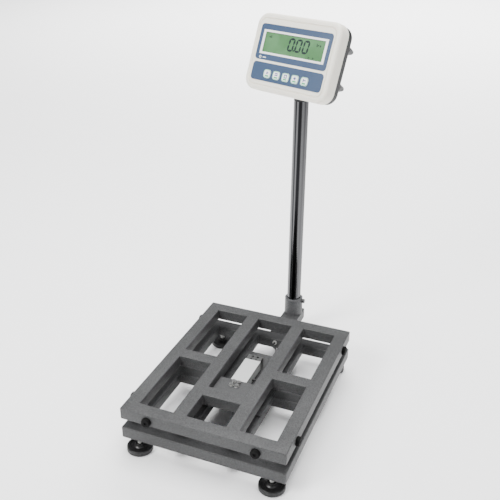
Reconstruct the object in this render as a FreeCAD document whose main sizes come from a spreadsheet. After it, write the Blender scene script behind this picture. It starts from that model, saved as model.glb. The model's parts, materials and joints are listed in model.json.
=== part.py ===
"""Platform shipping scale: an open tubular weighing frame on a load cell, a base frame on
levelling feet, and a display head that tilts on a swivelling column. Millimetres, +Z up, the
origin on the floor below the middle of the whole scale's outline, the user standing at -Y.

Three local frames are used. The scale frame lies on the floor under the middle of the
platform. The column frame lies on the floor under the column, turned with the column. The head
frame lies in the middle of the head's face: x to the right, y up the face, z out of it."""
import FreeCAD
import Part
import math
import os
import re
import Sketcher
from FreeCAD import Placement, Rotation, Vector

doc = FreeCAD.newDocument("platform_scale")
sheet = doc.addObject("Spreadsheet::Sheet", "dims")

DIMENSIONS = """
platform_w 394      # width of both frames
platform_l 500      # length of both frames
platform_y -95.46     # middle of the platform in the part's frame
tube_w 33           # width of every frame tube
tube_ht 30          # height of every frame tube
tube_wall 2
tube_edge 2.5       # radius along the tubes' long edges
foot_lift 35        # floor to the underside of the base frame
frame_gap 23        # between the base frame and the weighing frame
rail_pitch 126.6    # between the middles of the two long inner rails
side_cross_y -2     # middle of the left and right cross tubes
front_cross_y -119  # middle of the short cross tube in the centre bay
bearing_fit 0.05    # radial clearance of a turning or sliding fit
slip_fit 0.3        # clearance between pieces that only pass each other
plate_drop 14       # weighing frame's top to its load plate's top
plate_t 6
plate_w 86
plate_back_y -40
cell_l 150          # load cell
cell_w 38
cell_front_y -69
cell_inset 13       # from the cell's end to the middle of its holes
cell_pitch 13
cell_bolt_r 3
spacer_t 3
cover_t 1
cover_back_y 59
floor_plate_t 5
floor_plate_w 166
floor_plate_front_y -102
floor_plate_back_y 132
cable_r 2.6
foot_inset 36       # frame's side to the middle of the foot
foot_r 30
foot_ht 13          # floor to the top of the foot's edge
foot_stud_r 5
foot_hub_r 11
foot_hub_z 19.5     # floor to the top of the foot's hub
foot_nut_ht 6
bumper_r 11
bumper_out 8.5
bumper_drop 17.5    # weighing frame's top to the middle of the rubber bumpers
bumper_front_x 129
bumper_side_y 183
column_r 19
column_wall 1.5
column_top 680
column_y 372        # column's axis behind the middle of the platform
column_turn -20.3   # how far the head is swivelled at rest, in degrees
socket_r 25
socket_ht 49
bracket_w 50
bracket_wall 2.5
head_w 255
head_ht 187
head_corner 30
front_depth 31
rear_depth 22
shell_wall 3
hollow_corner 27
head_tilt 19.9      # lean of the face at rest, in degrees
pivot_z 730
pivot_down 44.8     # face's middle down to the tilt axis
pivot_behind 67     # face back to the tilt axis
pin_r 4
lug_r 11
ear_in 8            # half the space between the yoke's ears
ear_t 6
knob_r 13
lobe_r 3.4
overlay_w 217
overlay_t 0.8
overlay_corner 8.5
upper_y 23.5        # middle of the display panel on the face
upper_ht 86
lower_y -47.5       # middle of the keypad panel on the face
lower_ht 44
bezel_w 196
bezel_ht 58
view_w 182
view_ht 48
key_w 21
key_ht 20
key_corner 6
key_pitch 28.8
key_y -51
key_travel 0.5
post_x 110
post_high_y 41.5
post_low_y -45.5
post_l 30
"""

names = {}
for row, text in enumerate(t for t in DIMENSIONS.splitlines() if t.strip()):
    alias, value = text.split("#")[0].split()
    sheet.set(f"A{row + 1}", alias)
    sheet.set(f"B{row + 1}", value)
    sheet.setAlias(f"B{row + 1}", alias)
    names[alias] = float(value)
doc.recompute()


def bound(text):
    """An expression over the sheet: every alias in text gets the sheet's name in front."""
    return re.sub(r"[a-z_]+", lambda m: "dims." + m[0] if m[0] in names else m[0], text)


ALONG = {"x": Rotation(Vector(0, 1, 0), 90), "y": Rotation(Vector(1, 0, 0), -90), "z": Rotation()}
SIGNS = (-1, 1)


def drive(thing, **sizes):
    """Binds properties to expressions over the sheet."""
    for prop, text in sizes.items():
        thing.setExpression(prop, bound(text))
    return thing


def place(thing, x, y, z):
    for axis, text in zip("xyz", (x, y, z)):
        thing.setExpression(f".Placement.Base.{axis}", bound(text))
    return thing


def mid_box(x, y, z, length, width, height):
    """A box whose middle in x and y is given, standing on z."""
    made = doc.addObject("Part::Box", "box")
    drive(made, Length=length, Width=width, Height=height)
    return place(made, f"({x}) - ({length}) / 2", f"({y}) - ({width}) / 2", z)


def rod(x, y, z, radius, length, along="z"):
    """A cylinder that starts at a point and runs along +x, +y or +z."""
    made = doc.addObject("Part::Cylinder", "rod")
    made.Placement = Placement(Vector(), ALONG[along])
    drive(made, Radius=radius, Height=length)
    return place(made, x, y, z)


def cone(x, y, z, low, high, length):
    made = doc.addObject("Part::Cone", "cone")
    drive(made, Radius1=low, Radius2=high, Height=length)
    return place(made, x, y, z)


def hexagon(x, y, z, circumradius, length, along="z"):
    made = doc.addObject("Part::Prism", "hexagon")
    made.Polygon = 6
    made.Placement = Placement(Vector(), ALONG[along])
    drive(made, Circumradius=circumradius, Height=length)
    return place(made, x, y, z)


def fuse(*things):
    made = doc.addObject("Part::MultiFuse", "fuse")
    made.Shapes = list(things)
    return made


def cut(solid, *tools):
    made = doc.addObject("Part::Cut", "cut")
    made.Base = solid
    made.Tool = tools[0] if len(tools) == 1 else fuse(*tools)
    return made


def group(*things):
    made = doc.addObject("Part::Compound", "group")
    made.Links = list(things)
    return made


def round_edges(solid, along, radius):
    """Rounds the four edges of a box that run along one axis; radius is a name in the sheet."""
    doc.recompute()
    made = doc.addObject("Part::Fillet", "rounded")
    made.Base = solid
    lines = enumerate(solid.Shape.Edges, 1)
    made.Edges = [(n, names[radius], names[radius]) for n, e in lines
                  if abs(getattr(e.tangentAt(e.FirstParameter), along)) > 0.99]
    return made


def panel(x, y, z, length, width, height, corner):
    """A plate whose four corners are rounded, seen down z."""
    return round_edges(mid_box(x, y, z, length, width, height), "z", corner)


def turned(label, profile):
    """A body of revolution about Z, from a closed profile of (radius, height) expressions."""
    body = doc.addObject("PartDesign::Body", label)
    sketch = body.newObject("Sketcher::SketchObject", label + "_profile")
    plane = [f for f in body.Origin.OriginFeatures if f.Role == "XZ_Plane"][0]
    sketch.AttachmentSupport = (plane, [""])
    sketch.MapMode = "FlatFace"
    cells = []
    for number, pair in enumerate(profile):
        for text in pair:
            cell = f"Z{len(cells) + 1}"
            scratch.set(cell, "=" + bound(text))
            cells.append(cell)
    doc.recompute()
    numbers = [float(getattr(scratch.get(c), "Value", scratch.get(c))) for c in cells]
    points = [Vector(numbers[2 * i], numbers[2 * i + 1], 0) for i in range(len(profile))]
    for i, point in enumerate(points):
        sketch.addGeometry(Part.LineSegment(point, points[(i + 1) % len(points)]), False)
    for i, (r, z) in enumerate(profile):
        sketch.addConstraint(Sketcher.Constraint("Coincident", i, 2, (i + 1) % len(points), 1))
        for kind, text, now in (("DistanceX", r, points[i].x), ("DistanceY", z, points[i].y)):
            number = sketch.addConstraint(Sketcher.Constraint(kind, -1, 1, i, 1, now))
            sketch.setExpression(f"Constraints[{number}]", bound(text))
    turn = body.newObject("PartDesign::Revolution", label + "_turn")
    turn.Profile = sketch
    turn.ReferenceAxis = (sketch, ["V_Axis"])
    turn.Angle = 360
    doc.recompute()
    return body


def copies(solid, places):
    """The same solid at each (x, y, z) of expressions."""
    made = []
    for x, y, z in places:
        one = doc.addObject("Part::Compound", "copy")
        one.Links = [solid]
        made.append(place(one, x, y, z))
    return group(*made)


def home_places():
    """Where the scale, column and head frames lie in the part's frame."""
    scale = Placement(Vector(0, names["platform_y"], 0), Rotation())
    turn = Placement(Vector(0, names["column_y"], 0), Rotation(Vector(0, 0, 1), names["column_turn"]))
    lean = Rotation(Vector(1, 0, 0), 90 - names["head_tilt"])
    face = lean.multVec(Vector(0, names["pivot_down"], names["pivot_behind"]))
    column = scale * turn
    return {"scale": scale, "column": column,
            "head": column * Placement(Vector(0, 0, names["pivot_z"]) + face, lean)}


scratch = doc.addObject("Spreadsheet::Sheet", "scratch")
homes = home_places()
sub_parts = []


def sub_part(label, thing, home="scale"):
    """Names a finished sub-part and carries it from its local frame into the part's frame."""
    holder = doc.addObject("Part::Compound", label)
    holder.Links = [thing]
    holder.Label = label
    holder.Placement = homes[home]
    sub_parts.append(holder)


BASE_TOP = "(foot_lift + tube_ht)"
FRAME_Z = "(foot_lift + tube_ht + frame_gap)"
FRAME_TOP = "(foot_lift + tube_ht * 2 + frame_gap)"
PLATE_TOP = f"({FRAME_TOP} - plate_drop)"
PLATE_Z = f"({PLATE_TOP} - plate_t)"
FLOOR_TOP = f"({BASE_TOP} + floor_plate_t)"
CELL_Z = f"({FLOOR_TOP} + spacer_t)"
CELL_HT = f"({PLATE_Z} - {CELL_Z})"
CELL_BACK = "(cell_front_y + cell_l)"
BAY_L = "(platform_l - tube_w * 2)"
SIDE_X = "(platform_w / 4 - tube_w / 4 + rail_pitch / 4)"
SIDE_W = "(platform_w / 2 - tube_w * 1.5 - rail_pitch / 2)"


# ---- the two tube frames ------------------------------------------------------------------
def tube(x, y, z, length, width, runs):
    """A rectangular tube that runs along one axis, closed by a welded plate at both ends."""
    outside = round_edges(mid_box(x, y, z, length, width, "tube_ht"), runs, "tube_edge")
    return cut(outside, mid_box(x, y, f"{z} + tube_wall", f"({length}) - tube_wall * 2",
                                f"({width}) - tube_wall * 2", "tube_ht - tube_wall * 2"))


def along_x(x, y, z, length):
    return tube(x, y, z, length, "tube_w", "x")


def along_y(x, y, z, length):
    return tube(x, y, z, "tube_w", length, "y")


FOOT_X = "(platform_w / 2 - foot_inset)"
foot_places = [(f"{i} * {FOOT_X}", f"{j} * (platform_l - tube_w) / 2") for i in SIGNS for j in SIGNS]


def frame_tubes(prefix, z, drill):
    """The eight tubes both frames have; drill(tube, name) bores the four outer ones."""
    for name, s in (("left", -1), ("right", 1)):
        side = along_y(f"{s} * (platform_w - tube_w) / 2", "0", z, "platform_l")
        sub_part(f"{prefix}_rail_{name}", drill(side, name))
        sub_part(f"{prefix}_inner_{name}", along_y(f"{s} * rail_pitch / 2", "0", z, BAY_L))
        sub_part(f"{prefix}_cross_{name}", along_x(f"{s} * {SIDE_X}", "side_cross_y", z, SIDE_W))
    for name, s in (("front", -1), ("back", 1)):
        end = along_x("0", f"{s} * (platform_l - tube_w) / 2", z, "platform_w - tube_w * 2")
        sub_part(f"{prefix}_rail_{name}", drill(end, name))


def base_drill(tube_blank, name):
    """Makes room for the feet's threaded sleeves, which stand in the end tubes."""
    if name in ("left", "right"):
        here = [p for p in foot_places if p[0].startswith("-1" if name == "left" else "1")]
        return cut(tube_blank, *[rod(x, y, "foot_lift - 1", "foot_stud_r + 4 + slip_fit", "tube_ht - tube_wall + 1.3")
                                 for x, y in here])
    here = [p for p in foot_places if p[1].startswith("-1" if name == "front" else "1")]
    sleeves = [rod(x, y, "foot_lift", "foot_stud_r + 4", "tube_ht - tube_wall") for x, y in here]
    bores = [rod(x, y, "foot_lift - 1", "foot_stud_r + bearing_fit", "tube_ht - tube_wall") for x, y in here]
    if name == "back":
        bores.append(rod("1", "platform_l / 2 - tube_w - 1", CABLE_Z, "cable_r + 1.4", "tube_wall + 2", "y"))
    return cut(fuse(tube_blank, *sleeves), *bores)


CABLE_Z = "(foot_lift + tube_ht * 0.62)"
frame_tubes("top", FRAME_Z, lambda tube_blank, name: tube_blank)
frame_tubes("base", "foot_lift", base_drill)
sub_part("top_cross_front", along_x("0", "front_cross_y", FRAME_Z, "rail_pitch - tube_w"))


def bumper_set():
    """Eight dimpled rubber buttons round the weighing frame."""
    button = turned("bumper", [("0", "0"), ("bumper_r", "0"), ("bumper_r", "bumper_out - 2"),
                               ("bumper_r - 2", "bumper_out"), ("4", "bumper_out"), ("3", "bumper_out - 2.5"),
                               ("0", "bumper_out - 2.5")])
    z = f"{FRAME_TOP} - bumper_drop"
    made = []
    for i in SIGNS:
        for j in SIGNS:
            for axis, turn in ((Vector(1, 0, 0), 0), (Vector(0, 1, 0), 1)):
                one = doc.addObject("Part::Compound", "copy")
                one.Links = [button]
                one.Placement = Placement(Vector(), Rotation(axis, 90 * (j if turn else -j)))
                x, y = f"{i} * bumper_front_x", f"{j} * platform_l / 2"
                if turn:
                    x, y = f"{j} * platform_w / 2", f"{i} * bumper_side_y"
                made.append(place(one, x, y, z))
    return group(*made)


sub_part("bumpers", bumper_set())

# ---- load cell and what carries it ---------------------------------------------------------
FRONT_HOLES = [(f"{i} * cell_pitch / 2", f"cell_front_y + cell_inset + {j} * cell_pitch / 2")
               for i in SIGNS for j in SIGNS]
REAR_HOLES = [(x, f"{CELL_BACK} - cell_inset + {j} * cell_pitch / 2")
              for x in ("cell_pitch / -2", "cell_pitch / 2") for j in SIGNS]
PLATE_FRONT = "(front_cross_y + tube_w / 2)"

load_plate = cut(mid_box("0", f"({PLATE_FRONT} + plate_back_y) / 2", PLATE_Z, "plate_w",
                         f"plate_back_y - {PLATE_FRONT}", "plate_t"),
                 *[rod(x, y, f"{PLATE_Z} - 1", "cell_bolt_r + bearing_fit", "plate_t + 2") for x, y in FRONT_HOLES])
sub_part("load_plate", load_plate)
upper_bolt = fuse(rod("0", "0", "-plate_t - 12", "cell_bolt_r", "plate_t + 13"),
                  rod("0", "0", "0", "6", "1.2"), hexagon("0", "0", "1.2", "5.6", "4.2"))
sub_part("cell_upper_bolts", copies(upper_bolt, [(x, y, PLATE_TOP) for x, y in FRONT_HOLES]))

bar = mid_box("0", f"cell_front_y + cell_l / 2", CELL_Z, "cell_w", "cell_l", CELL_HT)
waist = [rod("-cell_w", f"cell_front_y + cell_l / 2 + {s} * 16", f"{CELL_Z} + {CELL_HT} / 2", "8", "cell_w * 2", "x")
         for s in SIGNS]
slot = mid_box("0", "cell_front_y + cell_l / 2", f"{CELL_Z} + {CELL_HT} / 2 - 3", "cell_w * 2", "32", "6")
cell_holes = [rod(x, y, f"{CELL_Z} + {CELL_HT} - 14", "cell_bolt_r + slip_fit", "20") for x, y in FRONT_HOLES]
cell_holes += [rod(x, y, f"{CELL_Z} - 1", "cell_bolt_r + bearing_fit", f"{CELL_HT} + 2") for x, y in REAR_HOLES]
sub_part("load_cell", cut(bar, *waist, slot, *cell_holes))
cover_front = "(plate_back_y + 2)"
cover_mid = f"({cover_front} + cover_back_y) / 2"
cover_l = f"cover_back_y - {cover_front}"
sub_part("cell_cover", cut(mid_box("0", cover_mid, f"{CELL_Z} + 2", "cell_w + cover_t * 2", cover_l,
                                   f"{CELL_HT} - 2 + cover_t"),
                           mid_box("0", cover_mid, f"{CELL_Z} - 5", "cell_w", f"{cover_l} + 2", f"{CELL_HT} + 5")))
sub_part("cell_spacer", cut(mid_box("0", f"{CELL_BACK} - cell_inset - 7", FLOOR_TOP, "cell_w", "40", "spacer_t"),
                            *[rod(x, y, f"{FLOOR_TOP} - 1", "cell_bolt_r + bearing_fit", "spacer_t + 2")
                              for x, y in REAR_HOLES]))
floor_plate = mid_box("0", "(floor_plate_front_y + floor_plate_back_y) / 2", BASE_TOP, "floor_plate_w",
                      "floor_plate_back_y - floor_plate_front_y", "floor_plate_t")
STOP_Y = "(cell_front_y + 9)"
floor_holes = [rod(x, y, f"{BASE_TOP} - 1", "cell_bolt_r + bearing_fit", "floor_plate_t + 2") for x, y in REAR_HOLES]
floor_holes.append(rod("0", STOP_Y, f"{BASE_TOP} - 1", "4 + bearing_fit", "floor_plate_t + 2"))
sub_part("floor_plate", cut(floor_plate, *floor_holes))
lower_bolt = fuse(rod("0", "0", "-1", "cell_bolt_r", "floor_plate_t + spacer_t + 13"),
                  hexagon("0", "0", "-4.2", "5.6", "4.2"))
overload_stop = fuse(rod("0", STOP_Y, f"{BASE_TOP} - 9", "4", f"{CELL_Z} - {BASE_TOP} + 8.2"),
                     hexagon("0", STOP_Y, f"{BASE_TOP} - 6.5", "7.5", "6.5"))
sub_part("cell_lower_screws", group(copies(lower_bolt, [(x, y, BASE_TOP) for x, y in REAR_HOLES]), overload_stop))


def cable():
    """The load cell's cable: one tube along straight runs joined by round bends."""
    side = names["cell_w"] / 2 + names["cover_t"]
    rest = sum(names[n] for n in ("foot_lift", "tube_ht", "floor_plate_t", "cable_r", "slip_fit"))
    rail = names["platform_l"] / 2 - names["tube_w"]
    exit_z = names["foot_lift"] + names["tube_ht"] * 0.62
    back = names["floor_plate_back_y"]
    corners = [Vector(side, 5, rest + 8), Vector(side + 17, 5, rest + 8), Vector(side + 15, 38, rest),
               Vector(side + 9, back + 24, rest), Vector(1, rail - 18, exit_z), Vector(1, rail + 9, exit_z)]
    edges = []
    start = corners[0]
    for before, corner, after in zip(corners, corners[1:], corners[2:]):
        come = (corner - before).normalize()
        go = (after - corner).normalize()
        half = come.getAngle(go) / 2
        reach = 0.45 * min((corner - before).Length, (after - corner).Length)
        centre_way = (go - come).normalize()
        radius = reach / math.tan(half)
        centre = corner + centre_way * (reach ** 2 + radius ** 2) ** 0.5
        enter = corner - come * reach
        leave = corner + go * reach
        middle = centre + (corner - centre).normalize() * radius
        edges += [Part.makeLine(start, enter), Part.Arc(enter, middle, leave).toShape()]
        start = leave
    edges.append(Part.makeLine(start, corners[-1]))
    ring = Part.Wire(Part.makeCircle(names["cable_r"], corners[0], corners[1] - corners[0]))
    made = doc.addObject("Part::Feature", "cable")
    made.Shape = Part.Wire(edges).makePipeShell([ring], True, False)
    return made


sub_part("cell_cable", cable())
GROMMET_Y = "platform_l / 2 - tube_w"
grommet = fuse(rod("1", f"{GROMMET_Y} - 3", CABLE_Z, "cable_r + 3.4", "3", "y"),
               rod("1", f"{GROMMET_Y} - 3", CABLE_Z, "cable_r + 1.4", "tube_wall + 3", "y"))
sub_part("cable_grommet", cut(grommet, rod("1", f"{GROMMET_Y} - 4", CABLE_Z, "cable_r", "tube_wall + 6", "y")))

# ---- levelling feet ------------------------------------------------------------------------
pad = turned("foot", [("0", "0"), ("foot_r - 2", "0"), ("foot_r", "2"), ("foot_r", "foot_ht - 2"),
                      ("foot_r - 2", "foot_ht"), ("foot_r - 7", "foot_ht"), ("foot_r - 8", "foot_ht - 1.5"),
                      ("foot_hub_r + 3", "foot_ht - 1.5"), ("foot_hub_r", "foot_ht + 1"),
                      ("foot_hub_r - 1", "foot_hub_z"), ("foot_stud_r", "foot_hub_z"),
                      ("foot_stud_r", "foot_lift + 18"), ("foot_stud_r - 1", "foot_lift + 19"),
                      ("0", "foot_lift + 19")])
FOOT_NAMES = ["front_left", "back_left", "front_right", "back_right"]
for foot_name, (x, y) in zip(FOOT_NAMES, foot_places):
    sub_part("foot_" + foot_name, copies(pad, [(x, y, "0")]))
jam_nut = cut(hexagon("0", "0", "foot_lift - foot_nut_ht", "9.2", "foot_nut_ht"),
              rod("0", "0", "foot_lift - foot_nut_ht - 1", "foot_stud_r + bearing_fit", "foot_nut_ht + 2"))
sub_part("foot_nuts", copies(jam_nut, [(x, y, "0") for x, y in foot_places]))

# ---- column --------------------------------------------------------------------------------
BRACKET_BACK = "(column_y + socket_r + 1)"
bracket_mid = f"(platform_l / 2 + {BRACKET_BACK}) / 2"
bracket_l = f"({BRACKET_BACK} - platform_l / 2)"
bracket_outside = round_edges(mid_box("0", bracket_mid, "foot_lift", "bracket_w", bracket_l, "tube_ht"),
                              "y", "tube_edge")
sub_part("column_bracket", cut(bracket_outside,
                               mid_box("0", bracket_mid, "foot_lift + bracket_wall", "bracket_w - bracket_wall * 2",
                                       bracket_l, "tube_ht - bracket_wall * 2")))
sub_part("bracket_cap", fuse(mid_box("0", f"{BRACKET_BACK} + 1", "foot_lift + 1", "bracket_w - 2", "2", "tube_ht - 2"),
                             mid_box("0", f"{BRACKET_BACK} - 6", "foot_lift + bracket_wall",
                                     "bracket_w - bracket_wall * 2", "12", "tube_ht - bracket_wall * 2")))
SOCKET_TOP = f"({BASE_TOP} + socket_ht)"
socket = turned("socket", [("0", BASE_TOP), ("socket_r", BASE_TOP), ("socket_r", f"{SOCKET_TOP} - 1.5"),
                           ("socket_r - 1.5", SOCKET_TOP), ("column_r + bearing_fit", SOCKET_TOP),
                           ("column_r + bearing_fit", f"{BASE_TOP} + 4"), ("0", f"{BASE_TOP} + 4")])
SCREW_Z = f"({SOCKET_TOP} - 9)"
sub_part("column_socket", cut(copies(socket, [("0", "column_y", "0")]),
                              rod("column_r - 2", "column_y", SCREW_Z, "3 + bearing_fit", "12", "x")))
sub_part("socket_screw", fuse(rod("column_r + slip_fit", "column_y", SCREW_Z, "3", "8", "x"),
                              rod("socket_r + slip_fit", "column_y", SCREW_Z, "6", "7", "x")))
sub_part("column", cut(rod("0", "column_y", f"{BASE_TOP} + 4", "column_r", f"column_top - {BASE_TOP} - 4"),
                       rod("0", "column_y", f"{BASE_TOP} + 3", "column_r - column_wall", "column_top")))
plug = turned("plug", [("0", "column_top - 18"), ("column_r - column_wall", "column_top - 18"),
                       ("column_r - column_wall", "column_top"), ("column_r", "column_top"),
                       ("column_r", "column_top + 3"), ("8", "column_top + 3"), ("8", "column_top + 11"),
                       ("0", "column_top + 11")])
sub_part("column_plug", plug, "column")

# ---- swivelling yoke and tilt joint --------------------------------------------------------
YOKE_Z = "(column_top + 3 + slip_fit)"
YOKE_TOP = "(column_top + 15)"
ears = []
for s in SIGNS:
    x = f"{s} * (ear_in + ear_t / 2)"
    ears.append(mid_box(x, "0", f"{YOKE_TOP} - 1", "ear_t", "lug_r * 2", f"pivot_z - {YOKE_TOP} + 1"))
    ears.append(rod(f"{x} - ear_t / 2", "0", "pivot_z", "lug_r", "ear_t", "x"))
yoke_foot = rod("0", "0", YOKE_Z, "column_r", f"{YOKE_TOP} - {YOKE_Z}")
sub_part("swivel_yoke", cut(fuse(yoke_foot, *ears),
                            rod("0", "0", f"{YOKE_Z} - 1", "8 + bearing_fit", "9"),
                            rod("-30", "0", "pivot_z", "pin_r + bearing_fit", "60", "x")), "column")
EAR_OUT = "(ear_in + ear_t)"
sub_part("tilt_bolt", fuse(rod(f"-{EAR_OUT}", "0", "pivot_z", "pin_r", f"{EAR_OUT} * 2 + 14", "x"),
                           hexagon(f"-{EAR_OUT} - 5", "0", "pivot_z", "8", "5", "x")), "column")
lobes = [rod(f"{EAR_OUT} + 5.5", f"{a} * knob_r", f"pivot_z + {b} * knob_r", "lobe_r", "12", "x")
         for a, b in ((0.72, 0), (0.224, 0.685), (-0.583, 0.423), (-0.583, -0.423), (0.224, -0.685))]
sub_part("tilt_knob", cut(fuse(rod(f"{EAR_OUT} + 5.5", "0", "pivot_z", "knob_r * 0.74", "12", "x"),
                               rod(f"{EAR_OUT} + slip_fit", "0", "pivot_z", "8", "9", "x"), *lobes),
                          rod(EAR_OUT, "0", "pivot_z", "pin_r + bearing_fit", "30", "x")), "column")

# ---- display head --------------------------------------------------------------------------
HEAD_BACK = "(front_depth + rear_depth)"
POST_PLACES = [(f"{s} * post_x", y) for s in SIGNS for y in ("post_high_y", "post_low_y")]
face_window = mid_box("0", "upper_y", "-10", "bezel_w", "bezel_ht", "20")
KEY_PLACES = [(f"{i} * key_pitch", "key_y") for i in range(-2, 3)]
front_blank = panel("0", "0", "-front_depth", "head_w", "head_ht", "front_depth", "head_corner")
front_hollow = panel("0", "0", "-front_depth - 1", "head_w - shell_wall * 2", "head_ht - shell_wall * 2",
                     "front_depth + 1 - shell_wall", "hollow_corner")
key_wells = [mid_box(x, y, "-10", "key_w - 8", "key_ht - 8", "20") for x, y in KEY_PLACES]
sub_part("front_shell", cut(front_blank, front_hollow, face_window, *key_wells), "head")
rear_blank = panel("0", "0", f"-{HEAD_BACK}", "head_w - 4", "head_ht - 4", "rear_depth", "head_corner")
rear_hollow = panel("0", "0", f"-{HEAD_BACK} + shell_wall", "head_w - 4 - shell_wall * 2",
                    "head_ht - 4 - shell_wall * 2", "rear_depth", "hollow_corner")
screw_holes = [rod(x, y, f"-{HEAD_BACK} - 1", "2 + bearing_fit", "6")
               for x, y in (("-90", "70"), ("90", "70"), ("-90", "-70"), ("90", "-70"))]
GLAND_X = "-58"
GLAND_Y = "-head_ht / 2 + 26"
gland_hole = rod(GLAND_X, GLAND_Y, f"-{HEAD_BACK} - 1", "6 + bearing_fit", "6")
sub_part("rear_shell", cut(rear_blank, rear_hollow, gland_hole, *screw_holes), "head")
post = cone("0", "0", "-post_l", "5.5", "14", "post_l")
sub_part("rear_posts", copies(post, [(x, y, f"-{HEAD_BACK}") for x, y in POST_PLACES]), "head")
case_screw = fuse(rod("0", "0", "-1", "2", "12"), rod("0", "0", "-2.4", "3.8", "2.4"))
sub_part("case_screws", copies(case_screw, [(x, y, f"-{HEAD_BACK}") for x, y in
                                            (("-90", "70"), ("90", "70"), ("-90", "-70"), ("90", "-70"))]), "head")
sub_part("cable_gland", cut(fuse(rod(GLAND_X, GLAND_Y, f"-{HEAD_BACK} - 2.5", "6", "8"),
                                 hexagon(GLAND_X, GLAND_Y, f"-{HEAD_BACK} - 6", "10", "6"),
                                 rod(GLAND_X, GLAND_Y, f"-{HEAD_BACK} - 14", "7", "9")),
                            rod(GLAND_X, GLAND_Y, f"-{HEAD_BACK} - 15", "3", "14")), "head")
LUG_Z = "(pivot_behind - front_depth - rear_depth)"
lug = fuse(mid_box("0", "-pivot_down", f"-{HEAD_BACK} - 3", "ear_in * 2 - slip_fit * 2", "60", "3"),
           mid_box("0", "-pivot_down", f"-{HEAD_BACK} - {LUG_Z}", "ear_in * 2 - slip_fit * 2", "lug_r * 2", LUG_Z),
           rod("-ear_in + slip_fit", "-pivot_down", "-pivot_behind", "lug_r", "ear_in * 2 - slip_fit * 2", "x"))
sub_part("head_lug", cut(lug, rod("-20", "-pivot_down", "-pivot_behind", "pin_r + bearing_fit", "40", "x")), "head")

display_film = panel("0", "upper_y", "0", "overlay_w", "upper_ht", "overlay_t", "overlay_corner")
sub_part("display_panel", cut(display_film, mid_box("0", "upper_y", "-1", "bezel_w", "bezel_ht", "3")), "head")
keypad_film = panel("0", "lower_y", "0", "overlay_w", "lower_ht", "overlay_t", "overlay_corner")
key_gaps = [panel(x, y, "-1", "key_w + 0.6", "key_ht + 0.6", "3", "key_corner") for x, y in KEY_PLACES]
sub_part("keypad_panel", cut(keypad_film, *key_gaps), "head")
sub_part("lcd_bezel", cut(mid_box("0", "upper_y", "-2", "bezel_w", "bezel_ht", "2 + overlay_t"),
                          mid_box("0", "upper_y", "-4", "view_w", "view_ht", "8")), "head")
sub_part("lcd_window", mid_box("0", "upper_y", "-1", "view_w", "view_ht", "1.2"), "head")
sub_part("lcd_glass", mid_box("0", "upper_y", "-5", "bezel_w - 2", "bezel_ht - 2", "3"), "head")
display_board = mid_box("0", "upper_y", "-6.6", "bezel_w + 12", "bezel_ht + 8", "1.6")
keypad_board = mid_box("0", "key_y", "-6.6", "key_pitch * 5", "key_ht + 6", "1.6")
sub_part("circuit_boards", group(display_board, keypad_board), "head")
sub_part("board_posts", group(*[rod(x, y, f"-{HEAD_BACK} + shell_wall", "3", f"{HEAD_BACK} - shell_wall - 6.6")
                                for x, y in (("-80", "0"), ("80", "0"), ("-80", "45"), ("80", "45"),
                                              ("-65", "key_y"), ("65", "key_y"))]), "head")
sub_part("battery", mid_box("0", "6", f"-{HEAD_BACK} + shell_wall", "96", "46", "20"), "head")
key_cap = panel("0", "0", "0", "key_w", "key_ht", "overlay_t + 0.4", "key_corner")
key_stem = mid_box("0", "0", "-4.5", "key_w - 9", "key_ht - 9", "5")
key = fuse(key_cap, key_stem)

for number, (x, y) in enumerate(KEY_PLACES, 1):
    sub_part(f"key_{number}", copies(key, [(x, y, "key_travel + 0.1")]), "head")

# ---- checks and files ----------------------------------------------------------------------
doc.recompute()
for thing in doc.Objects:
    if "Invalid" in thing.State or "Error" in thing.State:
        raise RuntimeError(f"{thing.Label} did not build")
os.makedirs("parts", exist_ok=True)
for holder in sub_parts:
    shape = holder.Shape
    if shape.isNull() or not shape.isValid() or not shape.Solids:
        raise RuntimeError(f"{holder.Label} is not a valid solid")
    plain = Part.makeCompound(shape.Solids)
    plain.exportStep(f"parts/{holder.Label}.step")
    low, high = plain.BoundBox.ZMin, plain.BoundBox.ZMax
    print(holder.Label, len(shape.Solids), round(shape.Volume), round(low, 1), round(high, 1))
whole = Part.makeCompound([h.Shape for h in sub_parts]).BoundBox
print("outline", whole)
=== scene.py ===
# %% [markdown]
# # Platform shipping scale
# An open tubular platform floats on a load cell over a base with four levelling feet. A chromed
# column at the back carries the display head. The CAD frame gives every place and every joint.
# This script adds what CAD shows badly: seamless welded skins, moulded shells, the printed face
# and the finishes. It is kept apart from the frame, so either can change without the other.
# %% Load the frame
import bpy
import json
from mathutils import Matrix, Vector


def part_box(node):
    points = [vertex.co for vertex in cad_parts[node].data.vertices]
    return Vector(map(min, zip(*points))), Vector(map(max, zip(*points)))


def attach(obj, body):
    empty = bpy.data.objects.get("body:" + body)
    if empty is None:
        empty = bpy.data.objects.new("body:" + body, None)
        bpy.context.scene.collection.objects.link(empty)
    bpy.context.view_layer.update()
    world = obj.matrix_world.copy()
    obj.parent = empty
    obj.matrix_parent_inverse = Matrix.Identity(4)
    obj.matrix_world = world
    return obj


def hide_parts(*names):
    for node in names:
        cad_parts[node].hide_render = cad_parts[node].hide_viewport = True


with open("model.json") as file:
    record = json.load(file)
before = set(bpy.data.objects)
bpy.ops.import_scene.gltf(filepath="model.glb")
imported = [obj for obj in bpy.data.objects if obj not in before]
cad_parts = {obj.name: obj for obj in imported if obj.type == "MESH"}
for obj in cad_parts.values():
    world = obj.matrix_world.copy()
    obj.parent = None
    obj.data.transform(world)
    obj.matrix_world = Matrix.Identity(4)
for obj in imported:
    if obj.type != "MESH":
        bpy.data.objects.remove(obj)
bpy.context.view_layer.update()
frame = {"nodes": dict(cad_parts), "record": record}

import json
import math
import bpy
import bmesh
from mathutils import Matrix, Vector

record = frame["record"]
joints = {joint["name"]: joint for joint in record["behaviour"]["joints"]}
MM = 0.001

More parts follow.
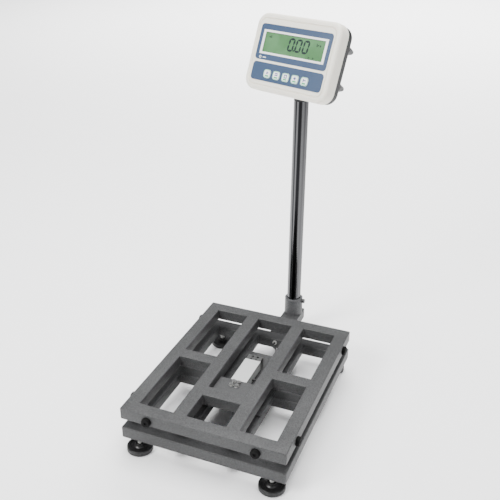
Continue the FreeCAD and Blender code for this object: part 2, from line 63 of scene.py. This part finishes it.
# %% [markdown]
# The camera stands in front of the platform's right corner, above the display and looking down,
# with a normal lens. Three angles place it more surely than a target does, because the small
# roll of a hand-held camera can be given too.
# %% Camera
def aim_camera(place, azimuth, down, roll, lens):
    across = Vector((math.cos(azimuth), -math.sin(azimuth), 0))
    ahead = Vector((math.sin(azimuth) * math.cos(down), math.cos(azimuth) * math.cos(down), -math.sin(down)))
    up = across.cross(ahead)
    right = across * math.cos(roll) + up * math.sin(roll)
    top = up * math.cos(roll) - across * math.sin(roll)
    camera = bpy.data.objects.new("camera", bpy.data.cameras.new("camera"))
    bpy.context.scene.collection.objects.link(camera)
    camera.matrix_world = Matrix.Translation(place) @ Matrix((right, top, -ahead)).transposed().to_4x4()
    camera.data.lens = lens
    camera.data.sensor_width = 36
    camera.data.clip_end = 50
    bpy.context.scene.camera = camera


CAMERA_PLACE = Vector((0.5490, -1.4387, 1.1588))
CAMERA_AZIMUTH, CAMERA_DOWN, CAMERA_ROLL = (math.radians(angle) for angle in (-21.75, 26.57, 0.43))
CAMERA_LENS = 52.5
aim_camera(CAMERA_PLACE, CAMERA_AZIMUTH, CAMERA_DOWN, CAMERA_ROLL, CAMERA_LENS)
print("camera at", tuple(CAMERA_PLACE))

# %% [markdown]
# Finishes are worked out by shader maths. Nodes could be placed one by one, but a sum then takes
# six lines. `Value` wraps a socket so that sums read as sums, and `Finish.node` makes any other
# node from its type, its settings and what goes into its sockets.
# %% Shader helper
class Value:
    """A number or colour inside one material's node tree."""
    def __init__(self, finish, socket):
        self.finish, self.socket = finish, socket

    def maths(self, kind, *others):
        return self.finish.node("ShaderNodeMath", {"operation": kind}, [self, *others])

    def __add__(self, other):
        return self.maths("ADD", other)

    def __sub__(self, other):
        return self.maths("SUBTRACT", other)

    def __mul__(self, other):
        return self.maths("MULTIPLY", other)

    def __rsub__(self, other):
        return (self * -1) + other

    __radd__, __rmul__ = __add__, __mul__

    def step(self, low, high):
        """0 below low, 1 above high, smooth between; high may be the smaller."""
        return self.finish.node("ShaderNodeMapRange", {"interpolation_type": "SMOOTHSTEP"},
                                {"Value": self, "From Min": low, "From Max": high})


class Finish:
    """One material and its node tree."""
    def __init__(self, name, rough=0.5, metal=0.0, **constants):
        self.material = bpy.data.materials.new(name)
        self.material.use_nodes = True
        self.tree = self.material.node_tree
        self.shader = self.tree.nodes["Principled BSDF"]
        self.feed("Roughness", rough)
        self.feed("Metallic", metal)
        for key, given in constants.items():
            self.feed(key.replace("_", " "), given)

    def put(self, socket, given):
        if isinstance(given, Value):
            self.tree.links.new(given.socket, socket)
        else:
            socket.default_value = given

    def feed(self, name, given):
        self.put(self.shader.inputs[name], given)

    def node(self, kind, settings=None, inputs=None, output=0):
        made = self.tree.nodes.new(kind)
        for key, given in (settings or {}).items():
            setattr(made, key, given)
        pairs = inputs.items() if isinstance(inputs, dict) else enumerate(inputs or [])
        for key, given in pairs:
            self.put(made.inputs[key], given)
        return Value(self, made.outputs[output])

    def place(self):
        return self.node("ShaderNodeTexCoord", output=3)

    def axes(self):
        """The x, y and z of the point, in metres."""
        parts = self.node("ShaderNodeSeparateXYZ", None, [self.place()])
        return [Value(self, parts.socket.node.outputs[i]) for i in range(3)]

    def noise(self, scale, detail=3.0, stretch=(1, 1, 1)):
        spot = self.node("ShaderNodeMapping", None, {"Vector": self.place(), "Scale": stretch})
        return self.node("ShaderNodeTexNoise", None, {"Vector": spot, "Scale": scale, "Detail": detail})

    def mix(self, factor, first, second):
        return self.node("ShaderNodeMix", {"data_type": "RGBA"}, {0: factor, 6: first, 7: second}, output=2)

    def bump(self, height, depth):
        self.feed("Normal", self.node("ShaderNodeBump", None,
                                      {"Height": height, "Distance": depth, "Strength": 1.0}))


def shade(colour, factor):
    return tuple(c * factor for c in colour[:3]) + (1.0,)


def grained(name, colour, grain, depth, rough, contrast=0.12, metal=0.0, **constants):
    """A finish with a fine grain, faint cloudy variation and a roughness that follows both."""
    finish = Finish(name, metal=metal, **constants)
    fine = finish.noise(grain, 4.0)
    cloud = finish.noise(9.0, 3.0)
    tone = fine * 0.6 + cloud * 0.4
    finish.feed("Base Color", finish.mix(tone.step(0.3, 0.7), shade(colour, 1 - contrast),
                                         shade(colour, 1 + contrast)))
    finish.feed("Roughness", (tone - 0.5) * 0.25 + rough)
    finish.bump(fine, depth)
    return finish.material


print("shader helper ready")

# %% [markdown]
# Powder coat, rubber and moulded plastic differ mostly in how coarse their grain is, so one
# recipe serves the last two. The coat is sprayed and baked: it has a fine orange peel with pale
# and dark specks, so it gets a recipe of its own.
# %% Painted, rubber and plastic finishes
def powder_coat(name, colour):
    finish = Finish(name, Specular_IOR_Level=0.3)
    speck = finish.noise(480.0, 2.0)
    peel = finish.noise(520.0, 3.0)
    cloud = finish.noise(7.0, 4.0)
    tone = speck * 0.55 + peel * 0.25 + cloud * 0.2
    finish.feed("Base Color", finish.mix(tone.step(0.36, 0.64), shade(colour, 0.62), shade(colour, 1.42)))
    finish.feed("Roughness", (peel - 0.5) * 0.3 + 0.47)
    finish.bump(peel * 0.7 + speck * 0.3, 0.00035)
    return finish.material


paint = powder_coat("frame_powder_coat", (0.042, 0.0425, 0.043))
socket_paint = powder_coat("socket_powder_coat", (0.066, 0.067, 0.069))
# Black rubber for the bumpers. The same finish also paints the shade in the back's cooling slots.
rubber_and_slot_shade = grained("black_rubber_and_slot_shade", (0.0015, 0.0015, 0.0015), 900.0, 0.0001, 0.7, Specular_IOR_Level=0.12)
black_plastic = grained("black_plastic", (0.008, 0.008, 0.009), 1400.0, 0.00015, 0.48)
dark_shell = grained("dark_shell", (0.010, 0.010, 0.011), 1300.0, 0.0002, 0.5)
ivory = grained("ivory_shell", (0.82, 0.785, 0.69), 1500.0, 0.00008, 0.42, 0.02, Subsurface_Weight=0.03)
black_steel = grained("black_enamel", (0.012, 0.012, 0.013), 600.0, 0.0001, 0.35)
cable_jacket = grained("cable_jacket", (0.012, 0.012, 0.013), 1200.0, 0.0001, 0.42)
grommet_grey = grained("grommet_grey", (0.35, 0.35, 0.34), 900.0, 0.0002, 0.5)
cover_grey = grained("cell_compound", (0.40, 0.41, 0.40), 420.0, 0.0003, 0.5, 0.05)
blue_film = grained("blue_film", (0.029, 0.056, 0.112), 2200.0, 0.00004, 0.36, 0.05)
board_green = grained("board_mask", (0.02, 0.16, 0.07), 700.0, 0.0001, 0.4)
print("plain finishes", len(bpy.data.materials))

# %% [markdown]
# The metals: zinc plate is mottled and bright, the load cell is milled along its length, and
# the column is chromed tube with long faint draw lines. All three come from stretched noise,
# because the direction of the stretch is what the eye reads as the way the metal was worked.
# The column's colour also carries broad dark and light bands along its length: these are painted reflections.
# %% Metal finishes
def drawn_metal(name, colour, stretch, rough, depth, streak):
    finish = Finish(name, metal=1.0)
    lines = finish.noise(160.0, 5.0, stretch)
    cloud = finish.noise(14.0, 3.0)
    finish.feed("Base Color", finish.mix(lines.step(0.3, 0.7), shade(colour, 1 - streak), shade(colour, 1)))
    finish.feed("Roughness", (lines - 0.5) * 0.12 + cloud * 0.08 + rough)
    finish.bump(lines, depth)
    return finish.material


def chromed_tube():
    """Chrome over drawn tube: broad soft dark and light bands of painted reflection run its whole length,
    with fine draw lines in them.
    """
    finish = Finish("column_chrome", metal=1.0)
    painted_reflection_bands = finish.noise(105.0, 1.0, (1, 1, 0.004))
    lines = finish.noise(900.0, 3.0, (1, 1, 0.002))
    cloud = finish.noise(16.0, 3.0)
    # Painted reflection: across the bands the colour runs from near black to grey, standing in for
    # surroundings mirrored in the chrome. The fine lines add the draw marks.
    tone = painted_reflection_bands * 0.85 + lines * 0.15
    finish.feed("Base Color", finish.mix(tone.step(0.44, 0.66), (0.012, 0.012, 0.013, 1),
                                         (0.105, 0.105, 0.108, 1)))
    finish.feed("Roughness", cloud * 0.08 + lines * 0.06 + 0.11)
    finish.bump(lines, 0.00001)
    return finish.material


chrome = chromed_tube()
alloy = drawn_metal("cell_alloy", (0.27, 0.27, 0.265), (6, 0.15, 6), 0.32, 0.00005, 0.18)
zinc = drawn_metal("zinc_plate", (0.45, 0.45, 0.44), (4, 4, 4), 0.26, 0.0001, 0.45)
print("metals ready")

# %% [markdown]
# A foot is black nylon moulded on a plated stud, with a knurled edge to grip. The four feet
# stand symmetrically, so one finish folds the floor plan onto a single foot and works from its
# own middle: the knurl is a wave round the edge, and the stud is plated above the hub.
# %% Foot finish
def foot_finish():
    low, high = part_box("foot_back_right")
    middle_x, back_y = (low[0] + high[0]) / 2, (low[1] + high[1]) / 2
    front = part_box("foot_front_right")
    front_y = (front[0][1] + front[1][1]) / 2
    knurls = 60
    pitch = 0.0015
    finish = Finish("foot_nylon")
    x, y, z = finish.axes()
    out_x = x.maths("ABSOLUTE") - middle_x
    out_y = (y - (back_y + front_y) / 2).maths("ABSOLUTE") - (back_y - front_y) / 2
    radius = (out_x * out_x + out_y * out_y).maths("SQRT")
    knurl = (out_y.maths("ARCTAN2", out_x) * knurls).maths("SINE") * 0.5 + 0.5
    edge = radius.step(0.0285, 0.0292)
    plated = radius.step(0.0056, 0.0052) * z.step(0.0192, 0.0197)
    thread = (z * (math.tau / pitch)).maths("SINE") * 0.5 + 0.5
    grain = finish.noise(1100.0, 3.0)
    dark = finish.mix(knurl * edge, (0.004, 0.004, 0.004, 1), (0.014, 0.014, 0.015, 1))
    finish.feed("Base Color", finish.mix(plated, dark, (0.6, 0.6, 0.58, 1)))
    finish.feed("Metallic", plated)
    finish.feed("Roughness", plated * -0.12 + grain * 0.15 + 0.36)
    finish.bump(knurl * edge + thread * plated * 0.4 + grain * 0.12, 0.0011)
    return finish.material


foot_black = foot_finish()
print("foot finish ready")

# %% [markdown]
# The display: the cell behind the window is a flat green with a faint glow, and the marks printed
# on the films are thin inks. The glow is kept weak, so that the figures stay dark against it.
# %% Display and ink finishes
def display_glass():
    finish = Finish("display_green", Coat_Weight=0.5)
    cloud = finish.noise(22.0, 2.0)
    colour = finish.mix(cloud.step(0.3, 0.7), (0.058, 0.158, 0.060, 1), (0.082, 0.20, 0.086, 1))
    finish.feed("Base Color", colour)
    finish.feed("Emission Color", colour)
    finish.feed("Emission Strength", 0.06)
    finish.feed("Roughness", finish.noise(600.0) * 0.1 + 0.16)
    return finish.material


green = display_glass()
digit_ink = grained("digit_dark", (0.004, 0.010, 0.012), 900.0, 0.00001, 0.3)
# Dark ink for the printed display marks. The same finish also paints the shadow line inside the display
# border.
mark_ink_and_painted_shadow = grained("mark_dark", (0.006, 0.016, 0.010), 900.0, 0.00001, 0.3)
white = grained("white_plastic", (0.78, 0.79, 0.77), 1600.0, 0.00004, 0.38, 0.03)
key_white = grained("key_white", (0.83, 0.84, 0.83), 1500.0, 0.00004, 0.34, 0.02)
green_ink = grained("green_ink", (0.01, 0.35, 0.12), 1200.0, 0.00001, 0.4)
pale_green_ink = grained("pale_green_ink", (0.12, 0.50, 0.30), 1200.0, 0.00001, 0.4)
violet_ink = grained("violet_ink", (0.03, 0.035, 0.20), 1200.0, 0.00001, 0.4)
print("display finishes ready")

# %% [markdown]
# Many pieces, such as screws, feet and the cable, look right as the frame has them and need only
# a finish. One table pairs each finish with its pieces, so a missing piece is easy to spot.
# %% Finishes on the frame's own pieces
FINISHES = {
    paint: ["load_plate", "floor_plate", "column_bracket"],
    socket_paint: ["column_socket"],
    rubber_and_slot_shade: ["bumpers"],
    zinc: ["cell_upper_bolts", "cell_lower_screws", "foot_nuts", "case_screws", "tilt_bolt"],
    alloy: ["load_cell", "cell_spacer"],
    cover_grey: ["cell_cover"],
    cable_jacket: ["cell_cable"],
    grommet_grey: ["cable_grommet"],
    black_plastic: ["bracket_cap", "column_plug", "tilt_knob", "cable_gland", "battery"],
    black_steel: ["socket_screw", "swivel_yoke", "head_lug"],
    chrome: ["column"],
    dark_shell: ["rear_posts", "board_posts"],
    blue_film: ["display_panel", "keypad_panel"],
    white: ["lcd_bezel"],
    green: ["lcd_window", "lcd_glass"],
    board_green: ["circuit_boards"],
    key_white: [f"key_{n}" for n in range(1, 6)],
    foot_black: [name for name in frame["nodes"] if name.startswith("foot_") and name != "foot_nuts"],
}


for material, nodes in FINISHES.items():
    for name in nodes:
        for place in frame["nodes"][name].material_slots:
            place.material = material
print("finished", sum(map(len, FINISHES.values())), "of", len(frame["nodes"]))

# %% [markdown]
# Small tools for the new pieces: each starts as a primitive in edit mode, is worked by
# selecting faces by where they lie, and ends with its place in its mesh. Choosing faces by place,
# not by number, keeps the script right when an earlier step makes more of them.
# %% Modelling helpers
def start(primitive, **settings):
    if bpy.context.object and bpy.context.object.mode == "EDIT":
        bpy.ops.object.mode_set(mode="OBJECT")
    bpy.ops.object.select_all(action="DESELECT")
    primitive(**settings)
    bpy.ops.object.transform_apply(location=True, rotation=True, scale=True)
    return bpy.context.object


def pick(test):
    """Selects the faces of the piece being edited whose middle and normal pass the test."""
    mesh = bmesh.from_edit_mesh(bpy.context.object.data)
    bpy.ops.mesh.select_mode(type="FACE")
    bpy.ops.mesh.select_all(action="DESELECT")
    count = 0
    for face in mesh.faces:
        if test(face.calc_center_median(), face.normal):
            face.select_set(True)
            count += 1
    bmesh.update_edit_mesh(bpy.context.object.data)
    return count


def edit():
    bpy.ops.object.mode_set(mode="EDIT")
    bpy.ops.mesh.select_all(action="SELECT")


def draw_up(height):
    """Gives the sheet being edited a thickness, and turns all its faces outwards."""
    bpy.ops.mesh.select_all(action="SELECT")
    bpy.ops.mesh.extrude_region_move(TRANSFORM_OT_translate={"value": (0, 0, height)})
    bpy.ops.mesh.select_all(action="SELECT")
    bpy.ops.mesh.normals_make_consistent(inside=False)


def round_corners(radius, steps):
    bpy.ops.mesh.select_mode(type="VERT")
    bpy.ops.mesh.select_all(action="SELECT")
    bpy.ops.mesh.bevel(affect="VERTICES", offset=radius, segments=steps)


def done(piece, name, material, body, angle=40, carry=None):
    """Leaves edit mode, names and finishes the piece, carries it into place and lets it ride."""
    if bpy.context.object.mode == "EDIT":
        bpy.ops.object.mode_set(mode="OBJECT")
    piece.name = piece.data.name = name
    piece.data.materials.clear()
    piece.data.materials.append(material)
    bpy.ops.object.select_all(action="DESELECT")
    piece.select_set(True)
    bpy.context.view_layer.objects.active = piece
    if carry:
        piece.data.transform(carry)
    bpy.ops.object.shade_smooth_by_angle(angle=math.radians(angle))
    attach(piece, body)
    return piece


def joined(pieces):
    bpy.ops.object.select_all(action="DESELECT")
    for piece in pieces:
        piece.select_set(True)
    bpy.context.view_layer.objects.active = pieces[0]
    if len(pieces) > 1:
        bpy.ops.object.join()
    return bpy.context.object


print("helpers ready")

# %% [markdown]
# Each welded frame is one ground and painted skin, with no joint to be seen on top. It starts
# as a sheet cut along the tubes' edges. The bays are removed and the sheet is drawn up to the
# tubes' height, then its edges are rounded as rolled tube is.
# %% Welded frames
def welded_frame(name, body, nodes, radius):
    boxes = [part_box(node) for node in nodes]
    low = Vector([min(b[0][i] for b in boxes) for i in range(3)])
    high = Vector([max(b[1][i] for b in boxes) for i in range(3)])
    middle = (low + high) / 2
    piece = start(bpy.ops.mesh.primitive_plane_add, size=1)
    piece.data.transform(Matrix.Translation((middle.x, middle.y, low.z))
                         @ Matrix.Diagonal((high.x - low.x, high.y - low.y, 1, 1)))
    edit()
    for axis in (0, 1):
        cuts = sorted({round(b[end][axis], 5) for b in boxes for end in (0, 1)})
        for cut in cuts:
            if low[axis] + 1e-4 < cut < high[axis] - 1e-4:
                bpy.ops.mesh.select_all(action="SELECT")
                normal = Vector((axis == 0, axis == 1, 0))
                bpy.ops.mesh.bisect(plane_co=normal * cut, plane_no=normal)

    def open_bay(spot, normal):
        return not any(b[0][0] < spot.x < b[1][0] and b[0][1] < spot.y < b[1][1] for b in boxes)

    bays = pick(open_bay)
    bpy.ops.mesh.delete(type="FACE")
    draw_up(high.z - low.z)
    bpy.ops.object.mode_set(mode="OBJECT")
    soften = piece.modifiers.new("soften", "BEVEL")
    soften.width = radius
    soften.segments = 4
    soften.limit_method = "ANGLE"
    bpy.ops.object.modifier_apply(modifier="soften")
    done(piece, name, paint, body)
    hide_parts(*nodes)
    print(name, "bays", bays, "faces", len(piece.data.polygons))


TUBES = ["rail_left", "inner_left", "cross_left", "rail_right", "inner_right", "cross_right",
         "rail_front", "rail_back"]
welded_frame("weighing_frame_skin", "platform", ["top_" + t for t in TUBES] + ["top_cross_front"], 0.0024)
welded_frame("base_frame_skin", "base", ["base_" + t for t in TUBES], 0.0034)

# %% [markdown]
# The head's own frame lies in the middle of its face: x across, y up, z out of it. The tilt
# joint gives its axis and place. Pieces can then be drawn flat, in millimetres, as on a drawing
# of the face, and carried to the tilted head at the end.
# %% Head frame
TILT = math.radians(19.9)
PIVOT_DOWN = 0.0448
PIVOT_BEHIND = 0.067
tilt_joint = joints["head_tilt"]
side = Vector(tilt_joint["axis"]).normalized()
behind = Vector((0, 0, 1)).cross(side)
face_up = behind * math.sin(TILT) + Vector((0, 0, math.cos(TILT)))
face_out = Vector((0, 0, math.sin(TILT))) - behind * math.cos(TILT)
face_middle = Vector(tilt_joint["pos_m"]) + face_up * PIVOT_DOWN + face_out * PIVOT_BEHIND
HEAD = Matrix.Translation(face_middle) @ Matrix((side, face_up, face_out)).transposed().to_4x4()
print("face middle", face_middle)

# %% [markdown]
# The two shells are injection moulded. A flat plate gets its round corners, is drawn out to
# depth and has its rim rolled over. The front keeps a shallow groove that frames the films; the
# back keeps a raised border. Its two rows of cooling slots are not cut through. Thin dark pads on
# the back face paint the shade that fills open slots.
# %% Shells
def slab(width, height, low, high, corner, rim, rim_steps=6):
    """A rounded plate from z low to high, in the head's frame, with the edge at high rolled."""
    piece = start(bpy.ops.mesh.primitive_plane_add, size=1)
    piece.data.transform(Matrix.Translation((0, 0, low * MM))
                         @ Matrix.Diagonal((width * MM, height * MM, 1, 1)))
    edit()
    round_corners(corner * MM, 14)
    draw_up((high - low) * MM)
    end = high * MM
    pick(lambda spot, normal: abs(spot.z - end) < 1e-6)
    bpy.ops.mesh.region_to_loop()
    bpy.ops.mesh.bevel(affect="EDGES", offset=rim * MM, segments=rim_steps)
    pick(lambda spot, normal: abs(spot.z - end) < 1e-6 and abs(normal.z) > 0.99)
    return piece


FRONT_GROOVE = ((3.5, 0), (1.3, -2.2), (1.4, 0), (1.5, 2.2))
BACK_GROOVE = ((5, 0), (1.0, -0.9), (3, 0), (1.0, 0.9))
SLOT_COLUMNS, SLOT_PITCH, SLOT_OUT = 9, 5, 62

front = slab(255, 187, -31, 0, 30, 8)
for width, depth in FRONT_GROOVE:
    bpy.ops.mesh.inset(thickness=width * MM, depth=depth * MM)
done(front, "front_shell_skin", ivory, "head", 30, HEAD)
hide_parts("front_shell")

back = slab(251, 183, -31.2, -53, 29, 6)
for width, depth in BACK_GROOVE:
    bpy.ops.mesh.inset(thickness=width * MM, depth=depth * MM)
done(back, "rear_shell_skin", dark_shell, "head", 30, HEAD)
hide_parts("rear_shell")

# Painted shade: each cooling slot is a thin black pad on the back face, standing in for the dark inside of an
# open slot.
slot_shade_pads = []
for row in (-1, 1):
    for n in range(SLOT_COLUMNS):
        slot_shade_pad = start(bpy.ops.mesh.primitive_cube_add, size=1)
        across = row * SLOT_OUT + (n - SLOT_COLUMNS // 2) * SLOT_PITCH
        slot_shade_pad.data.transform(Matrix.Translation((across * MM, 20 * MM, -52.95 * MM))
                                  @ Matrix.Diagonal((2.2 * MM, 34 * MM, 0.3 * MM, 1)))
        edit()
        bpy.ops.mesh.bevel(affect="EDGES", offset=0.1 * MM, segments=1)
        bpy.ops.object.mode_set(mode="OBJECT")
        slot_shade_pads.append(slot_shade_pad)
done(joined(slot_shade_pads), "vent_slot_shade", rubber_and_slot_shade, "head", 30, HEAD)
print("shells made")

# %% [markdown]
# The display shows 0.00 in seven-segment figures. Each segment is a six-sided bar, and the
# figures lean a little, as they do on such displays.
# %% Figures
MARK_THICK = 0.00005


def flat(sides, x, y, half_w, half_h, z, turn=0.0):
    """A flat printed mark with this many sides, lying z above the face."""
    piece = start(bpy.ops.mesh.primitive_circle_add, vertices=sides, radius=1, fill_type="NGON")
    spin = Matrix.Rotation(turn, 4, "Z")
    square = Matrix.Rotation(math.pi / 4, 4, "Z") if sides == 4 else Matrix()
    grow = math.sqrt(2) if sides == 4 else 1.0
    piece.data.transform(Matrix.Translation((x * MM, y * MM, z * MM)) @ spin
                         @ Matrix.Diagonal((half_w * grow * MM, half_h * grow * MM, 1, 1)) @ square)
    edit()
    draw_up(MARK_THICK)
    bpy.ops.object.mode_set(mode="OBJECT")
    return piece


WINDOW_Z = 0.22
FIGURE_H, FIGURE_W, BAR = 27.0, 13.6, 5.6
LEAN = Matrix(((1, 0.11, 0, 0), (0, 1, 0, 0), (0, 0, 1, 0), (0, 0, 0, 1)))


def zero(x, y):
    bars = []
    for up in (-1, 1):
        bars.append(flat(6, 0, up * FIGURE_H / 2, FIGURE_W / 2 + 0.3, BAR / 2, WINDOW_Z))
        for across in (-1, 1):
            bars.append(flat(6, across * FIGURE_W / 2, up * FIGURE_H / 4, FIGURE_H / 4 + 0.3, BAR / 2,
                             WINDOW_Z, math.pi / 2))
    piece = joined(bars)
    piece.data.transform(Matrix.Translation((x * MM, y * MM, 0)) @ LEAN)
    return piece


figures = [zero(x, 26.0) for x in (-6.5, 15.5, 37.5)]
figures.append(flat(4, 3.6, 13.0, 2.0, 2.0, WINDOW_Z))
done(joined(figures), "display_figures", digit_ink, "head", 30, HEAD)

marks = [flat(4, -74, 36, 4.4, 0.9, WINDOW_Z), flat(4, -73, 38.6, 3.0, 0.8, WINDOW_Z, 0.3),
         flat(3, 52, 4.0, 3.6, 2.6, WINDOW_Z, math.pi / 6), flat(3, 65, 4.0, 3.6, 2.6, WINDOW_Z, math.pi / 6),
         flat(4, 68, 35, 1.1, 3.8, WINDOW_Z, 0.1), flat(4, 72, 35, 2.6, 1.0, WINDOW_Z, 0.8),
         flat(24, 78, 34, 2.2, 2.6, WINDOW_Z)]
done(joined(marks), "display_marks", mark_ink_and_painted_shadow, "head", 30, HEAD)
print("figures made")

# %% [markdown]
# The films are screen printed from behind. A small ring and bar mark the zero lamp, and each
# key has a pale green rim, a green underline and a plain sign of its own. Inside the display's
# white border a dark line runs along its top and left: it is painted shadow of the border, not print.
# %% Printed marks and a painted shadow line
FILM_Z = 0.82
lamp = [flat(32, -92, -13.5, 3.3, 3.3, FILM_Z), flat(4, -79, -13.5, 5.0, 1.1, FILM_Z)]
done(joined(lamp), "lamp_ring", white, "head", 30, HEAD)
lamp_eye = flat(24, -92, -13.5, 1.8, 1.8, FILM_Z + 0.06)
done(lamp_eye, "lamp_eye", blue_film, "head", 30, HEAD)

# Painted shadow: dark bars inside the border's top and left stand in for the shadow the white border casts on
# the display.
shadows = [flat(4, 0, 47.0, 91, 0.5, 0.23), flat(4, -90.5, 23.5, 0.5, 24, 0.23)]
done(joined(shadows), "display_shadow_line", mark_ink_and_painted_shadow, "head", 30, HEAD)

KEY_TOP = 1.81
KEY_Y = -51.0
KEY_PITCH = 28.8
FIELD_THICK = 0.00004


def key_sign(number, x):
    """Five plain signs: a triangle, two bars, a frame, a plus and a bar with an arm."""
    y = KEY_Y + 2.2
    z = KEY_TOP + 0.06
    return {
        1: lambda: [flat(3, x, y, 4.4, 4.0, z, math.pi / 6)],
        2: lambda: [flat(4, x, y + 2.4, 4.6, 1.2, z), flat(4, x, y - 1.6, 4.6, 1.2, z)],
        3: lambda: [flat(4, x + dx, y + dy, w, h, z) for dx, dy, w, h in
                    ((-3.4, 0, 1.1, 2.1), (3.4, 0, 1.1, 2.1), (0, 3.2, 4.5, 1.1), (0, -3.2, 4.5, 1.1))],
        4: lambda: [flat(4, x, y, 4.2, 1.2, z), flat(4, x, y + 2.6, 1.2, 1.4, z),
                    flat(4, x, y - 2.6, 1.2, 1.4, z)],
        5: lambda: [flat(4, x - 2.8, y, 1.2, 3.6, z), flat(4, x + 1.6, y, 3.0, 1.2, z)],
    }[number]()


def rounded_flat(x, y, width, height, corner, z):
    """A thin printed field with round corners."""
    piece = start(bpy.ops.mesh.primitive_plane_add, size=1)
    piece.data.transform(Matrix.Translation((x * MM, y * MM, z * MM))
                         @ Matrix.Diagonal((width * MM, height * MM, 1, 1)))
    edit()
    round_corners(corner * MM, 8)
    draw_up(FIELD_THICK)
    bpy.ops.object.mode_set(mode="OBJECT")
    return piece


for number in range(1, 6):
    x = (number - 3) * KEY_PITCH
    body = f"key_{number}"
    rim = rounded_flat(x, KEY_Y, 20.6, 19.6, 5.8, KEY_TOP - 0.02)
    done(rim, f"{body}_rim", pale_green_ink, body, 30, HEAD)
    field = rounded_flat(x, KEY_Y, 18.0, 17.0, 4.6, KEY_TOP + 0.02)
    done(field, f"{body}_field", key_white, body, 30, HEAD)
    done(joined(key_sign(number, x)), f"{body}_sign", violet_ink, body, 30, HEAD)
    line = flat(4, x, KEY_Y - 5.2, 5.4, 1.7, KEY_TOP + 0.06)
    done(line, f"{body}_line", green_ink, body, 30, HEAD)
print("marks printed")

# %% [markdown]
# The scale stands on a plain pale studio floor under broad soft lights. A wide light far behind
# brightens only the floor: it is kept out of reflections, or it would lie as a white sheen on
# the painted tops.
# %% Floor, lights and world
floor = start(bpy.ops.mesh.primitive_plane_add, size=40)
floor.name = "studio_floor"
floor_finish = Finish("studio_floor", rough=0.9)
floor_finish.feed("Base Color", floor_finish.mix(floor_finish.noise(2.0), (0.94, 0.94, 0.94, 1),
                                                 (0.96, 0.96, 0.96, 1)))
floor.data.materials.append(floor_finish.material)


def soft_light(name, place, target, size, power, mirrored=True):
    light = bpy.data.objects.new(name, bpy.data.lights.new(name, "AREA"))
    light.data.energy = power
    light.data.size = size
    light.location = place
    light.rotation_euler = (Vector(target) - Vector(place)).to_track_quat("-Z", "Y").to_euler()
    light.visible_glossy = mirrored
    bpy.context.scene.collection.objects.link(light)


soft_light("key_light", (-1.7, -2.4, 2.6), (0, 0, 0.3), 1.3, 170)
soft_light("fill_light", (2.6, -1.6, 1.9), (0, 0, 0.5), 1.2, 38)
soft_light("top_light", (0.0, 0.5, 3.2), (0, 0, 0), 2.0, 165)
soft_light("floor_light", (-1.0, 6.5, 3.6), (-1.0, 6.5, 0), 7.0, 1500, mirrored=False)
world = bpy.data.worlds.new("studio")
world.use_nodes = True
world.node_tree.nodes["Background"].inputs["Color"].default_value = (0.95, 0.96, 1.0, 1)
world.node_tree.nodes["Background"].inputs["Strength"].default_value = 0.46
bpy.context.scene.world = world
print("stage set")
